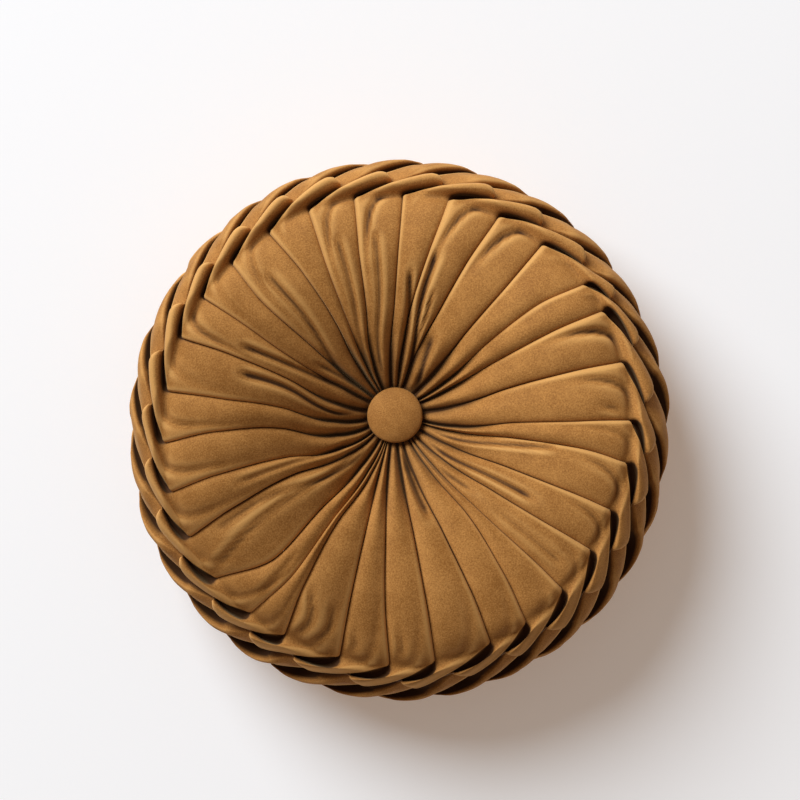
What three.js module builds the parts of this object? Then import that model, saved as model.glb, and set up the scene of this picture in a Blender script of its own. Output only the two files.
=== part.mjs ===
// A round velvet cushion lying on its back: a strip of cloth smocked round the side, its edges laid
// in knife pleats that gather to a covered button in the middle of the face and of the back.
// Millimetres, +Z up. The origin is on the resting surface, under the middle of the cushion.
// Angles are in degrees, clockwise from +Y as seen from above.
import * as THREE from 'three';

// Driving sizes
const MID_HEIGHT = 51;
const RIM_RADIUS = 163;
const BUTTON_DIAMETER = 38.5;
const BUTTON_THICKNESS = 10;
const BUTTON_OFFSET = { x: -2.8, y: 10.2 };
const SEAT_RADIUS = 10;
const SEAT_EDGE = 21;
const SEAT_HEIGHT = 80;
const PIECE_GAP = 0.3;

// The cover's outline from the seat of the button to the middle of the side, as radius and height.
// The last point lies past the middle of the side, and only makes the outline upright there.
const OUTLINE = [
  { radius: SEAT_RADIUS, height: SEAT_HEIGHT },
  { radius: SEAT_EDGE, height: SEAT_HEIGHT },
  { radius: 45, height: 92.5 },
  { radius: 80, height: 103.5 },
  { radius: 115, height: 107 },
  { radius: 145, height: 101.5 },
  { radius: RIM_RADIUS, height: 92 },
  { radius: 177, height: 79 },
  { radius: 186.5, height: MID_HEIGHT },
  { radius: 177, height: 2 * MID_HEIGHT - 79 },
];
const SEAT_STATION = 1;
const RIM_STATION = 6;
const ROW_STATION = 7;
const MIDDLE_STATION = 8;

// Where the rings of points lie, as places along the outline
const FACE_RINGS = [0, 1, 1.6, 2.3, 3.1, 4, 4.8, 5.5, RIM_STATION];
const SIDE_RINGS = [6.35, 6.8, ROW_STATION, 7.25, 7.8, MIDDLE_STATION];
// Where the points of one pleat lie across it, from its own crease to the next one
const PLEAT_COLUMNS = [0, 0.08, 0.36, 0.64, 0.92];

// The creases of the face: the angle of each at the rim, at two rings between and near the button
const CREASE_RADII = { rim: RIM_RADIUS, outer: 124, inner: 78, button: 42 };
// At the button's edge a crease has turned on by this share of its turn over the ring before
const TURN_AT_BUTTON = 0.6;
const CREASES = [
  { rim: 1, outer: 0.5, inner: -0.7, button: -4 },
  { rim: 13, outer: 10.8, inner: 7.3, button: 6 },
  { rim: 25.3, outer: 23.4, inner: 21.3, button: 17.5 },
  { rim: 38, outer: 38.4, inner: 38.8, button: 41.5 },
  { rim: 52.5, outer: 49.7, inner: 50.4, button: 55 },
  { rim: 60, outer: 59, inner: 59.5, button: 61.7 },
  { rim: 73.5, outer: 73, inner: 74, button: 79 },
  { rim: 88, outer: 89, inner: 91.6, button: 99 },
  { rim: 98.5, outer: 97, inner: 98.3, button: 103.5 },
  { rim: 111.3, outer: 111.2, inner: 112.7, button: 117.5 },
  { rim: 122.5, outer: 123.5, inner: 126.3, button: 132 },
  { rim: 134.7, outer: 135.2, inner: 137.8, button: 142 },
  { rim: 147, outer: 144.5, inner: 142.7, button: 147.5 },
  { rim: 157, outer: 156.2, inner: 157.6, button: 162 },
  { rim: 171.8, outer: 171.4, inner: 172, button: 174 },
  { rim: 182.7, outer: 184.5, inner: 186.1, button: 188 },
  { rim: 195, outer: 195.7, inner: 196.2, button: 196.5 },
  { rim: 209.5, outer: 211.3, inner: 211, button: 203.5 },
  { rim: 219.5, outer: 215.8, inner: 213.2, button: 207 },
  { rim: 231, outer: 223, inner: 221, button: 215 },
  { rim: 243.3, outer: 244.3, inner: 243.3, button: 233 },
  { rim: 255.3, outer: 255.6, inner: 252.3, button: 240 },
  { rim: 267.3, outer: 269, inner: 267.3, button: 254 },
  { rim: 279.8, outer: 279.3, inner: 277.3, button: 267 },
  { rim: 293, outer: 293.5, inner: 291.7, button: 284 },
  { rim: 304.2, outer: 303.8, inner: 301.6, button: 300 },
  { rim: 315.2, outer: 312.8, inner: 312.1, button: 310.5 },
  { rim: 327, outer: 328.8, inner: 329.1, button: 325 },
  { rim: 338, outer: 336.7, inner: 334.7, button: 331 },
  { rim: 349.5, outer: 348, inner: 345.3, button: 338 },
];
const PLEATS = CREASES.length;
const PLEAT_ANGLE = 360 / PLEATS;

// How far the folds run on round the cushion, in pleats: from the rim to the first row of smocking,
// and from there to the middle of the side, where they are evenly spaced
const RIM_TO_ROW_SHIFT = 1.3;
const ROW_TO_MIDDLE_SHIFT = 1.1;
const MIDDLE_ANGLE = 30;
// A fold and the one it meets across the middle of the side add up to this
const FACING_FOLDS = -2 * MIDDLE_ANGLE / PLEAT_ANGLE;

// Heights of the folds over the outline. A pleat's lip and its fall are in parts of its depth, and
// the rim takes away a part of the depth.
const PLEAT_DEPTH = { button: 0.4, rim: 5 };
const LIP_HEIGHT = 0.55;
const PLEAT_FALL = 1.05;
const DEPTH_LOST_AT_RIM = 0.5;
const HOOD_HEIGHT = { rim: 3, row: 7.5, middle: 4.5 };
const SMOCK_GROOVE = 3.5;
const ROW_GROOVE = 2;
// Where the ridge of a hood lies across its pleat, from where it begins on the face to the middle of
// the side, and how wide it is, in parts of a pleat
const HOOD_PLACE = { face: 0.1, rim: 0.45, side: 0.5, rowEnd: 0.75 };
const HOOD_WIDTH = 0.42;
const HOOD_START = 0.8;
const HOOD_HEIGHT_AT_STITCH = 0.6;

// The covered button: its rounded edge and the flat of its dome in parts of its size
const EDGE_SHARE = 0.38;
const DOME_SHARE = 0.62;
const EDGE_TURN = { from: -90, to: 30 };
const BUTTON_STEPS = 5;
const BUTTON_SIDES = 40;

const { lerp, clamp, smoothstep, degToRad } = THREE.MathUtils;

const outline = new THREE.SplineCurve(OUTLINE.map((p) => new THREE.Vector2(p.radius, p.height)));

// The point of the outline at a station, and the direction that points out of the cushion there
function outlineAt(station) {
  const t = station / (OUTLINE.length - 1);
  const point = outline.getPoint(t);
  const along = outline.getTangent(t);
  return { radius: point.x, height: point.y, out: new THREE.Vector2(-along.y, along.x) };
}

// The value at x of a smooth line through the knots, whose x falls from the first to the last
function smoothLine(knots, x) {
  const last = knots.length - 1;
  let k = 0;
  while (k < last - 1 && x < knots[k + 1].x) k += 1;
  const before = knots[Math.max(k - 1, 0)].value;
  const start = knots[k].value;
  const end = knots[k + 1].value;
  const after = knots[Math.min(k + 2, last)].value;
  const t = clamp((x - knots[k].x) / (knots[k + 1].x - knots[k].x), 0, 1);
  const slopeIn = (end - before) / 2;
  const slopeOut = (after - start) / 2;
  const bend = 2 * (start - end) + slopeIn + slopeOut;
  return start + t * (slopeIn + t * (3 * (end - start) - 2 * slopeIn - slopeOut + t * bend));
}

// The angle of one crease of the face at a radius, for any whole pleat number
function creaseAngle(pleat, radius) {
  const turn = Math.floor(pleat / PLEATS);
  const crease = CREASES[pleat - turn * PLEATS];
  const knots = Object.keys(CREASE_RADII).map((ring) => ({ x: CREASE_RADII[ring], value: crease[ring] }));
  const turned = TURN_AT_BUTTON * (crease.button - crease.inner);
  knots.push({ x: SEAT_EDGE, value: crease.button + turned });
  return turn * 360 + smoothLine(knots, radius);
}

// The angle of a place among the pleats at a radius, such as 2.5 for halfway across the third pleat
function faceAngle(place, radius) {
  const pleat = Math.floor(place);
  const start = creaseAngle(pleat, radius);
  return lerp(start, creaseAngle(pleat + 1, radius), place - pleat);
}

// On the side the folds run on clockwise, and their spacing evens out towards the middle
function sideAngle(place, station) {
  const toRow = clamp(station - RIM_STATION, 0, 1);
  const toMiddle = clamp(station - ROW_STATION, 0, 1);
  const shifted = place + RIM_TO_ROW_SHIFT * toRow + ROW_TO_MIDDLE_SHIFT * toMiddle;
  const middleShift = RIM_TO_ROW_SHIFT + ROW_TO_MIDDLE_SHIFT;
  const even = MIDDLE_ANGLE + PLEAT_ANGLE * (shifted - middleShift);
  return lerp(faceAngle(shifted, RIM_RADIUS), even, (toRow + toMiddle) / 2);
}

// A knife pleat lies high at its own crease and falls to the next one, under the next pleat's lip
function pleatHeight(across, depth) {
  return across === 0 ? -depth : depth * (LIP_HEIGHT - PLEAT_FALL * across);
}

// Each pleat ends in a hood, a ridge that crosses from its own crease to the next one
function hood(across, centre, height) {
  return height * Math.exp(-(((across - centre) / HOOD_WIDTH) ** 2));
}

// How far the cover stands out from its outline
function foldHeight(across, station) {
  if (station <= RIM_STATION) {
    const v = clamp((station - SEAT_STATION) / (RIM_STATION - SEAT_STATION), 0, 1);
    const depth = station < SEAT_STATION ? 0 : lerp(PLEAT_DEPTH.button, PLEAT_DEPTH.rim, Math.sqrt(v));
    const rising = smoothstep(v, HOOD_START, 1);
    const ridge = lerp(HOOD_PLACE.face, HOOD_PLACE.rim, rising);
    const crossing = across === 0 ? 0 : hood(across, ridge, HOOD_HEIGHT.rim * rising);
    return pleatHeight(across, depth * (1 - DEPTH_LOST_AT_RIM * rising)) + crossing;
  }
  const firstRow = station < ROW_STATION;
  const v = firstRow ? station - RIM_STATION : station - ROW_STATION;
  const open = Math.sin(Math.PI * v);
  if (across === 0) return -SMOCK_GROOVE - open;
  if (station === ROW_STATION || station === MIDDLE_STATION) return -ROW_GROOVE;
  const height = firstRow ? HOOD_HEIGHT.row : HOOD_HEIGHT.middle;
  const swell = firstRow ? lerp(HOOD_HEIGHT_AT_STITCH, 1, open) : open;
  return hood(across, lerp(HOOD_PLACE.side, HOOD_PLACE.rowEnd, v), height * swell);
}

// A point of the front half of the cover
function coverPoint(place, across, station) {
  const base = outlineAt(station);
  const onFace = station <= RIM_STATION;
  const angle = degToRad(onFace ? faceAngle(place, base.radius) : sideAngle(place, station));
  const stand = foldHeight(across, station);
  const radius = base.radius + base.out.x * stand;
  const inward = (RIM_RADIUS - base.radius) / (RIM_RADIUS - BUTTON_DIAMETER / 2);
  const offset = clamp(inward, 0, 1);
  return new THREE.Vector3(
    BUTTON_OFFSET.x * offset + radius * Math.sin(angle),
    BUTTON_OFFSET.y * offset + radius * Math.cos(angle),
    base.height + base.out.y * stand,
  );
}

// The back is the front turned over about the Y axis, and flat where it rests
function turnOver(point) {
  return new THREE.Vector3(-point.x, point.y, Math.max(0, 2 * MID_HEIGHT - point.z));
}

// The whole cover, ring by ring from the seat of the face's button to that of the back's
function coverRings() {
  const stations = [...FACE_RINGS, ...SIDE_RINGS];
  const front = stations.map((station) => {
    const ring = [];
    for (let pleat = 0; pleat < PLEATS; pleat += 1) {
      for (const across of PLEAT_COLUMNS) ring.push(coverPoint(pleat + across, across, station));
    }
    return ring;
  });
  const columns = PLEATS * PLEAT_COLUMNS.length;
  const facing = FACING_FOLDS * PLEAT_COLUMNS.length;
  const back = front.slice(0, -1).reverse().map((ring) => {
    return ring.map((_, c) => turnOver(ring[(((facing - c) % columns) + columns) % columns]));
  });
  return [...front, ...back];
}

// Joins rings of points into one closed body, with a fan over the first ring and under the last
function closedBody(rings) {
  const count = rings[0].length;
  const centreOf = (ring) => ring.reduce((sum, p) => sum.add(p), new THREE.Vector3()).divideScalar(count);
  const points = [...rings.flat(), centreOf(rings[0]), centreOf(rings[rings.length - 1])];
  const topCentre = points.length - 2;
  const bottomCentre = points.length - 1;
  const lastRing = (rings.length - 1) * count;
  const faces = [];
  for (let c = 0; c < count; c += 1) {
    const next = (c + 1) % count;
    faces.push(topCentre, next, c);
    for (let r = 0; r < lastRing; r += count) {
      faces.push(r + c, r + next, r + count + c);
      faces.push(r + next, r + count + next, r + count + c);
    }
    faces.push(bottomCentre, lastRing + c, lastRing + next);
  }
  const geometry = new THREE.BufferGeometry().setFromPoints(points);
  geometry.setIndex(faces);
  geometry.computeVertexNormals();
  return geometry;
}

// A covered button, its flat underside at zero and its dome above
function buttonGeometry() {
  const radius = BUTTON_DIAMETER / 2;
  const edge = BUTTON_THICKNESS * EDGE_SHARE;
  const from = degToRad(EDGE_TURN.from);
  const to = degToRad(EDGE_TURN.to);
  const roundEdge = new THREE.EllipseCurve(radius - edge, edge, edge, edge, from, to);
  const profile = [new THREE.Vector2(0, 0), ...roundEdge.getPoints(BUTTON_STEPS)];
  const shoulder = profile[profile.length - 1];
  const dome = new THREE.QuadraticBezierCurve(
    shoulder,
    new THREE.Vector2(radius * DOME_SHARE, BUTTON_THICKNESS),
    new THREE.Vector2(0, BUTTON_THICKNESS),
  );
  profile.push(...dome.getPoints(BUTTON_STEPS).slice(1));
  const geometry = new THREE.LatheGeometry(profile, BUTTON_SIDES);
  geometry.rotateX(Math.PI / 2);
  return geometry;
}

const velvet = { color: 0xa9763c, roughness: 0.85, metalness: 0 };

const cushion = new THREE.Mesh(closedBody(coverRings()), new THREE.MeshStandardMaterial(velvet));
cushion.name = 'cushion';

const buttonTop = new THREE.Mesh(buttonGeometry(), new THREE.MeshStandardMaterial(velvet));
buttonTop.name = 'button_top';
buttonTop.position.set(BUTTON_OFFSET.x, BUTTON_OFFSET.y, SEAT_HEIGHT + PIECE_GAP);

const buttonBack = new THREE.Mesh(buttonGeometry(), new THREE.MeshStandardMaterial(velvet));
buttonBack.name = 'button_back';
buttonBack.rotation.y = Math.PI;
const backSeat = 2 * MID_HEIGHT - SEAT_HEIGHT;
buttonBack.position.set(-BUTTON_OFFSET.x, BUTTON_OFFSET.y, backSeat - PIECE_GAP);

const roundCushion = new THREE.Group();
roundCushion.add(cushion, buttonTop, buttonBack);

export default roundCushion;
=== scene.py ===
"""A round velvet cushion with a smocked side, its face and back pleated and gathered to covered buttons.

The cushion lies on its back on a pale floor. Sizes in the tables are in millimetres, +Z is up, and
angles are in degrees, clockwise from +Y as seen from above.
"""
import math

import bpy
import numpy as np
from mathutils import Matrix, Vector


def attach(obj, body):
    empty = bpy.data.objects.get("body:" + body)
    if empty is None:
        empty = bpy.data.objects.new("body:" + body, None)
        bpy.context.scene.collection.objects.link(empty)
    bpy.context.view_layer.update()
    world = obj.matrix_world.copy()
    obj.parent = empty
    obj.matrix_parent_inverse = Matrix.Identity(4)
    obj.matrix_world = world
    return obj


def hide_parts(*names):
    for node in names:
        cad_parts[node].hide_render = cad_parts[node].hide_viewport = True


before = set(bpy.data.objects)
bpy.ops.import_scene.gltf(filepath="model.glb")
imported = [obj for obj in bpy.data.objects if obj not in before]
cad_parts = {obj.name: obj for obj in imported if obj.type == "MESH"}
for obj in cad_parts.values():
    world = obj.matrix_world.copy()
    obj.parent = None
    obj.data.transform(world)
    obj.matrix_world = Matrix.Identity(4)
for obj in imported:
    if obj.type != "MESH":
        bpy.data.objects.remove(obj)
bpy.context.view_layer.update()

bl_info = {
    "name": "Round ruffled cushion",
    "version": (1, 0, 0),
    "blender": (4, 5, 0),
    "location": "View3D > Sidebar > Cushion",
    "description": "Makes a round pleated and smocked velvet cushion with covered buttons",
    "category": "Object",
}

MM = 0.001
BODY = "root"
SEED = 7
TINY = 1e-9

# The cover's outline from the seat of the button to the middle of the side. The last point lies
# past the middle, and only makes the outline upright there.
MID_HEIGHT = 51.0
OUTLINE = [
    {"radius": 10.0, "height": 80.0},
    {"radius": 21.0, "height": 80.0},
    {"radius": 45.0, "height": 92.5},
    {"radius": 80.0, "height": 103.5},
    {"radius": 115.0, "height": 107.0},
    {"radius": 145.0, "height": 101.5},
    {"radius": 163.0, "height": 92.0},
    {"radius": 177.0, "height": 79.0},
    {"radius": 186.5, "height": MID_HEIGHT},
    {"radius": 177.0, "height": 2 * MID_HEIGHT - 79.0},
]
# Stations count its points from 0: the seat's edge, the rim, the row of smocking, the middle of the side
SEAT, RIM, ROW, MIDDLE = 1.0, 6.0, 7.0, 8.0
RIM_RADIUS = 163.0

# The creases of the face: the angle of each at four rings, and how deep it is near three of them
CREASE_RADII = {"rim": RIM_RADIUS, "outer": 124.0, "inner": 78.0, "button": 42.0}
DEPTH_RADII = {"deep_rim": RIM_RADIUS, "deep_mid": 95.0, "deep_button": 40.0}
# From the inmost ring to the edge of the seat a crease turns on by this share of its last turn
SEAT_EDGE = 21.0
TURN_AT_BUTTON = 0.6
CREASE_COLUMNS = ("rim", "outer", "inner", "button", "deep_rim", "deep_mid", "deep_button", "valley")
CREASES = [dict(zip(CREASE_COLUMNS, row)) for row in (
    (1, 0.5, -0.7, -4, 0.5, 0.8, 0.9, 0.4),
    (13, 10.8, 7.3, 6, 1.9, 0.6, 0.5, 1.3),
    (25.3, 23.4, 21.3, 17.5, 0.9, 1.1, 0.9, 1.4),
    (38, 38.4, 38.8, 41.5, 1.0, 1.0, 1.2, 0.4),
    (52.5, 49.7, 50.4, 55, 1.4, 1.7, 1.9, 0.1),
    (60, 59, 59.5, 61.7, 1.1, 1.2, 1.3, 1.5),
    (73.5, 73, 74, 79, 1.3, 1.2, 0.8, 1.1),
    (88, 89, 91.6, 99, 1.0, 1.1, 1.6, 0.7),
    (98.5, 97, 98.3, 103.5, 1.0, 0.5, 0.6, 1.0),
    (111.3, 111.2, 112.7, 117.5, 1.4, 0.5, 0.5, 0.9),
    (122.5, 123.5, 126.3, 132, 1.3, 0.7, 0.5, 0.7),
    (134.7, 135.2, 137.8, 142, 1.2, 0.7, 0.5, 0.45),
    (147, 144.5, 142.7, 147.5, 1.3, 0.4, 0.5, 0.5),
    (157, 156.2, 157.6, 162, 1.1, 0.4, 0.6, 0.65),
    (171.8, 171.4, 172, 174, 1.5, 1.3, 1.2, 0.5),
    (182.7, 184.5, 186.1, 188, 1.1, 1.0, 1.1, 0.6),
    (195, 195.7, 196.2, 196.5, 1.1, 1.1, 1.3, 0.5),
    (209.5, 211.3, 211, 203.5, 0.9, 0.9, 0.6, 0.5),
    (219.5, 215.8, 213.2, 207, 1.3, 1.3, 1.3, 0.6),
    (231, 223, 221, 215, 0.6, 1.1, 1.3, 0.4),
    (243.3, 244.3, 243.3, 233, 1.2, 1.0, 0.8, 0.7),
    (255.3, 255.6, 252.3, 240, 1.4, 1.3, 1.5, 0.9),
    (267.3, 269, 267.3, 254, 1.3, 1.3, 1.6, 0.8),
    (279.8, 279.3, 277.3, 267, 1.0, 1.3, 1.3, 0.6),
    (293, 293.5, 291.7, 284, 0.6, 0.8, 1.0, 1.2),
    (304.2, 303.8, 301.6, 300, 0.7, 1.1, 1.0, 0.6),
    (315.2, 312.8, 312.1, 310.5, 1.2, 1.3, 1.6, 0.9),
    (327, 328.8, 329.1, 325, 1.2, 1.1, 1.4, 0.3),
    (338, 336.7, 334.7, 331, 1.2, 1.4, 1.6, 1.1),
    (349.5, 348, 345.3, 338, 1.3, 1.2, 1.5, 1.4),
)]
PLEATS = len(CREASES)
PLEAT_ANGLE = 360.0 / PLEATS

# How far the folds run on round the cushion, in pleats: from the rim to the row of smocking, and
# from there to the middle of the side, where they are evenly spaced
RIM_TO_ROW_SHIFT = 1.45
ROW_TO_MIDDLE_SHIFT = 0.95
MIDDLE_ANGLE = 30.0
FACING_FOLDS = round(-2 * MIDDLE_ANGLE / PLEAT_ANGLE)

# The folds of the face rise out of the seat between two stations. Their depth grows towards the rim
# along a curve, and the last stretch before the rim is flatter.
FOLDS_RISE = (0.5, 1.4)
DEPTH_CURVE = 0.6
FLATTER_FROM = 5.5
FLATTER_BY = 0.35
# Inside this radius they are gathered into rounded ridges, which are fully so further in
GATHERED_WITHIN = 88.0
GATHERED_OVER = 55.0
RIDGE_HEIGHT = 1.75
RIDGE_CURVE = 0.8
# How much the height of a lip follows the depth of its crease, and how far it hangs over
LIP_FOLLOWS = 0.45
OVERHANG = 1.7
PLEAT_PUFF = 2.1
PUFF_CURVE = 0.7

# The soft valley below each hood and the strap outside it. Lengths across are in pleats.
PLEAT_WIDTH = 34.0
VALLEY_LENGTH = 0.8
VALLEY_REACH = 1.2
VALLEY_AT_STITCH = 1.9
VALLEY_DROP = 21.0
VALLEY_BEND = 4.9
VALLEY_DEPTH = 2.9
VALLEY_WIDTH = 3.4
VALLEY_INSIDE = 0.6
VALLEY_RISES = (0.06, 0.26)
VALLEY_FADES = (0.55, 0.95)
VALLEY_FADE = 0.6
WEAKEST_VALLEY = 0.35
VALLEY_GAIN = 1.25
STRAP_HEIGHT = 2.2
STRAP_RISES = (0.08, 0.5)
STRAP_EDGE = (-1.5, 4.5)

# The rim is drawn in towards the button on one side: how far, at which angle and how wide
RIM_DRAWN_IN = 8.0
DRAWN_IN_AT = 122.0
DRAWN_IN_SPREAD = 38.0
DRAWN_IN_FROM = 4.6
DRAWN_IN_TO = 7.6

# Small gathers between the creases. Each starts at one radius, out on the face, and ends at another
# nearer the button, with its angle at its start, its middle and its end.
GATHER_COLUMNS = ("start", "end", "at_start", "at_middle", "at_end", "depth", "width", "lip")
GATHERS = [dict(zip(GATHER_COLUMNS, row)) for row in (
    (108, 30, 4.7, 6.6, 4.5, 3.6, 2.2, 0.6),
    (124, 34, 12.6, 11.6, 15.5, 4.0, 2.4, 0.8),
    (97, 56, 14.8, 15.5, 15.3, 2.4, 1.4, 0.3),
    (66, 26, 23.5, 26.5, 34, 3.2, 3.2, 0.4),
    (148, 92, 129.6, 130.0, 131.0, 1.4, 2.6, 0.4),
    (74, 50, 132.5, 134.8, 137.5, 2.6, 2.0, 0.3),
    (111, 36, 98.2, 102.6, 111.0, 2.4, 2.0, 1.3),
    (108, 36, 118.6, 120.8, 127.5, 3.2, 2.4, 1.0),
    (72, 30, 161.5, 164.5, 167.5, 3.6, 2.8, 0.4),
    (146, 36, 241.0, 239.0, 222.5, 1.7, 2.8, 0.4),
    (160, 40, 233.0, 235.6, 228.0, 1.3, 3.2, 1.0),
    (118, 40, 250.3, 248.2, 242.0, 1.6, 2.2, 0.6),
    (115, 36, 288.3, 286.4, 273.0, 4.0, 2.6, 0.8),
    (122, 48, 297.2, 298.0, 298.5, 3.6, 2.4, 0.8),
    (70, 34, 305.6, 306.8, 308.5, 3.0, 2.2, 0.4),
    (140, 38, 319.4, 318.4, 309.5, 2.4, 2.6, 0.5),
    (138, 38, 342.0, 340.4, 333.0, 2.2, 2.6, 0.6),
    (136, 36, 353.0, 352.0, 344.0, 2.2, 2.6, 0.6),
    (160, 126, 206.6, 204.8, 207.8, 1.5, 2.9, 0.9),
    (161, 130, 202.6, 199.4, 199.8, 1.3, 3.0, 0.8),
    (150, 112, 219.6, 219.0, 218.4, 1.2, 3.2, 0.3),
    (159, 140, 85.6, 84.4, 83.6, 1.5, 2.9, 0.4),
    (160, 140, 180.0, 179.2, 179.6, 1.3, 2.8, 0.5),
    (160, 144, 192.4, 191.4, 192.0, 1.3, 2.8, 0.5),
)]

# Each gather fades in at its start and out at its end, over these millimetres, and gets narrower towards
# the button. In parts of its width, its lip lies beside it, and painted shade darkens it in a narrower
# line.
START_FADE = (-3, 10)
END_FADE = (-8, 8)
GATHER_TAPER = 0.55
LIP_BESIDE = 1.9
LIP_WIDTH = 1.3
DARK_WIDTH = 0.75

# One fold of the face from its own crease to the next one, in parts of its depth: a rounded lip
# that hangs a little over the fold before it
FACE_FOLD = [dict(zip(("across", "height", "slide"), row)) for row in (
    (0.0, -1.0, 0.9),
    (0.012, -0.7, 0.3),
    (0.03, 0.35, -1.1),
    (0.055, 0.72, -0.8),
    (0.09, 0.76, -0.3),
    (0.14, 0.75, -0.1),
    (0.2, 0.72, 0.0),
    (0.35, 0.68, 0.0),
    (0.5, 0.62, 0.0),
    (0.65, 0.54, 0.0),
    (0.8, 0.4, 0.0),
    (0.86, 0.3, 0.0),
    (0.91, 0.16, 0.0),
    (0.945, -0.05, 0.1),
    (0.97, -0.36, 0.3),
    (0.988, -0.75, 0.6),
    (1.0, -1.0, 0.9),
)]
# One fold of the side: its border rises out of the hollow under the hood before it, and it climbs to the
# edge of its own hood, which stands back over the next hollow. The columns give its height where the hoods
# lie open (flat), where they lie closed (round) and in the second row (puff), how far it stands back in
# each row (open, apart) and reaches in under its hood (under), and where in its row the hood ends (end).
SIDE_COLUMNS = ("across", "flat", "round", "puff", "open", "apart", "under", "end")
SIDE_FOLD = [dict(zip(SIDE_COLUMNS, row)) for row in (
    (0.0, -1.0, -1.0, -1.0, 1.0, 1.0, 1.0, 1.0),
    (0.012, -0.6, -0.7, -0.7, 0.6, 0.6, 0.6, 1.0),
    (0.03, 0.15, -0.1, -0.1, 0.15, 0.15, 0.15, 0.99),
    (0.055, 0.62, 0.22, 0.26, 0.0, 0.0, 0.0, 0.98),
    (0.09, 0.7, 0.32, 0.34, 0.0, 0.0, 0.0, 0.96),
    (0.14, 0.72, 0.42, 0.36, 0.0, 0.0, 0.0, 0.94),
    (0.2, 0.75, 0.54, 0.42, 0.0, 0.0, 0.0, 0.91),
    (0.35, 0.84, 0.86, 0.66, 0.0, 0.15, 0.0, 0.84),
    (0.5, 0.92, 0.97, 0.86, 0.0, 0.38, 0.0, 0.77),
    (0.65, 0.98, 0.92, 0.98, 0.12, 0.62, 0.0, 0.69),
    (0.8, 1.0, 0.66, 0.96, 0.4, 0.82, 0.0, 0.61),
    (0.86, 0.94, 0.46, 0.86, 0.6, 0.9, 0.0, 0.57),
    (0.91, 0.8, 0.22, 0.66, 0.8, 0.96, 0.1, 0.55),
    (0.945, 0.5, -0.04, 0.36, 0.95, 1.0, 0.35, 0.58),
    (0.97, 0.05, -0.34, -0.05, 1.0, 1.0, 0.7, 0.71),
    (0.988, -0.5, -0.68, -0.55, 1.0, 1.0, 0.95, 0.88),
    (1.0, -1.0, -1.0, -1.0, 1.0, 1.0, 1.0, 1.0),
)]
# One fold between its hood and the next row, and at the middle of the side, where the cloth is
# pulled almost level between its stitches
LEVEL_FOLD = [dict(zip(("across", "strap", "middle"), row)) for row in (
    (0.0, -0.7, -0.4),
    (0.012, -0.4, -0.3),
    (0.03, 0.0, -0.05),
    (0.055, 0.25, 0.12),
    (0.09, 0.3, 0.22),
    (0.14, 0.28, 0.34),
    (0.2, 0.24, 0.46),
    (0.35, 0.18, 0.7),
    (0.5, 0.14, 0.87),
    (0.65, 0.1, 0.97),
    (0.8, 0.06, 1.0),
    (0.86, 0.03, 0.96),
    (0.91, -0.03, 0.84),
    (0.945, -0.12, 0.6),
    (0.97, -0.3, 0.25),
    (0.988, -0.5, -0.15),
    (1.0, -0.7, -0.4),
)]
COLUMNS_OF_PLEAT = (0, 0.012, 0.03, 0.055, 0.09, 0.14, 0.20, 0.27, 0.35, 0.43,
                    0.5, 0.57, 0.65, 0.73, 0.80, 0.86, 0.91, 0.945, 0.97, 0.988)
# The hollows stand open most at this angle, and by these shares in each row
OPEN_AT = 150.0
FIRST_OPENNESS = {"least": 0.35, "most": 1.45}
SECOND_OPENNESS = {"least": 0.45, "most": 2.4}
# Beside a flat pleat of the face a hollow opens by this share, and less beside a deep valley
OPEN_BESIDE_FLAT = 1.35
VALLEY_CLOSES = 0.5
# The hoods stand out by these shares of their height: less on the side where they lie open
HOOD_SHARE = {"closed": 1.35, "open": 0.85}
# A hood rises from its stitch, at this share of its height, over this part of its row. Below the level
# of the outline the folds of both rows go down by these shares.
HOOD_AT_STITCH = 0.35
HOOD_RISES = (0.0, 0.3)
HOOD_BELOW = 0.6
PUFF_BELOW = 1.7
# The folds of the second row rise out of the straps, grow level and then even, over these parts of it
SECOND_RISES = (0.05, 0.4)
LEVELS_OVER = (0.6, 1.0)
EVENS_OVER = (0.85, 1.0)
# In the first row a hollow is widest near the rim, and nearer where it lies closed. In the second row it
# is widest halfway, and closes just past the middle of the side. Both have blunt ends.
WIDEST_CLOSED = 0.45
WIDEST_OPEN_MORE = 0.15
SECOND_LENGTH = 1.02
FIRST_BLUNTNESS = 0.8
SECOND_BLUNTNESS = 0.55
# Each hood is a little larger or smaller than the next
HOOD_VARIES = (0.8, 1.2)
# The end of a hood rolls over the row of stitches at these stations
HOOD_LIP = [dict(zip(("station", "height", "slide"), row)) for row in (
    (6.84, 1.0, 0.0),
    (6.91, 0.96, 0.5),
    (6.95, 0.82, 0.95),
    (6.98, 0.5, 1.05),
    (7.0, 0.12, 0.6),
    (7.03, 0.0, 0.1),
)]
LIP_REACH = 3.4
# How far the end of a hood reaches out at places across it, in parts of the most
HOOD_END = [dict(zip(("across", "reach"), row)) for row in (
    (0.0, 0.0), (0.03, 0.4), (0.06, 0.85), (0.2, 1.0), (0.8, 1.0), (0.9, 0.75), (0.97, 0.2), (1.0, 0.0),
)]
# How far a hollow reaches in under its hood
HOLLOW_REACH = 3.4

# Rings of points, by the stations they span and the number of steps between those
RING_COLUMNS = ("first", "last", "steps")
FRONT_RINGS = [dict(zip(RING_COLUMNS, row)) for row in (
    (0, 1, 4), (1, 2, 9), (2, 3, 11), (3, 4, 10), (4, 5, 11), (5, 6, 12), (6, 6.84, 14), (6.84, 7.03, 8),
    (7.03, 8, 22),
)]
BACK_RINGS = [dict(zip(RING_COLUMNS, row)) for row in (
    (0, 1, 3), (1, 2, 6), (2, 4, 9), (4, 6, 12), (6, 6.84, 8), (6.84, 7.03, 6), (7.03, 8, 14),
)]

# How far the folds stand out at the middle of the side
MIDDLE_HEIGHT = 4.1
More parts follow.
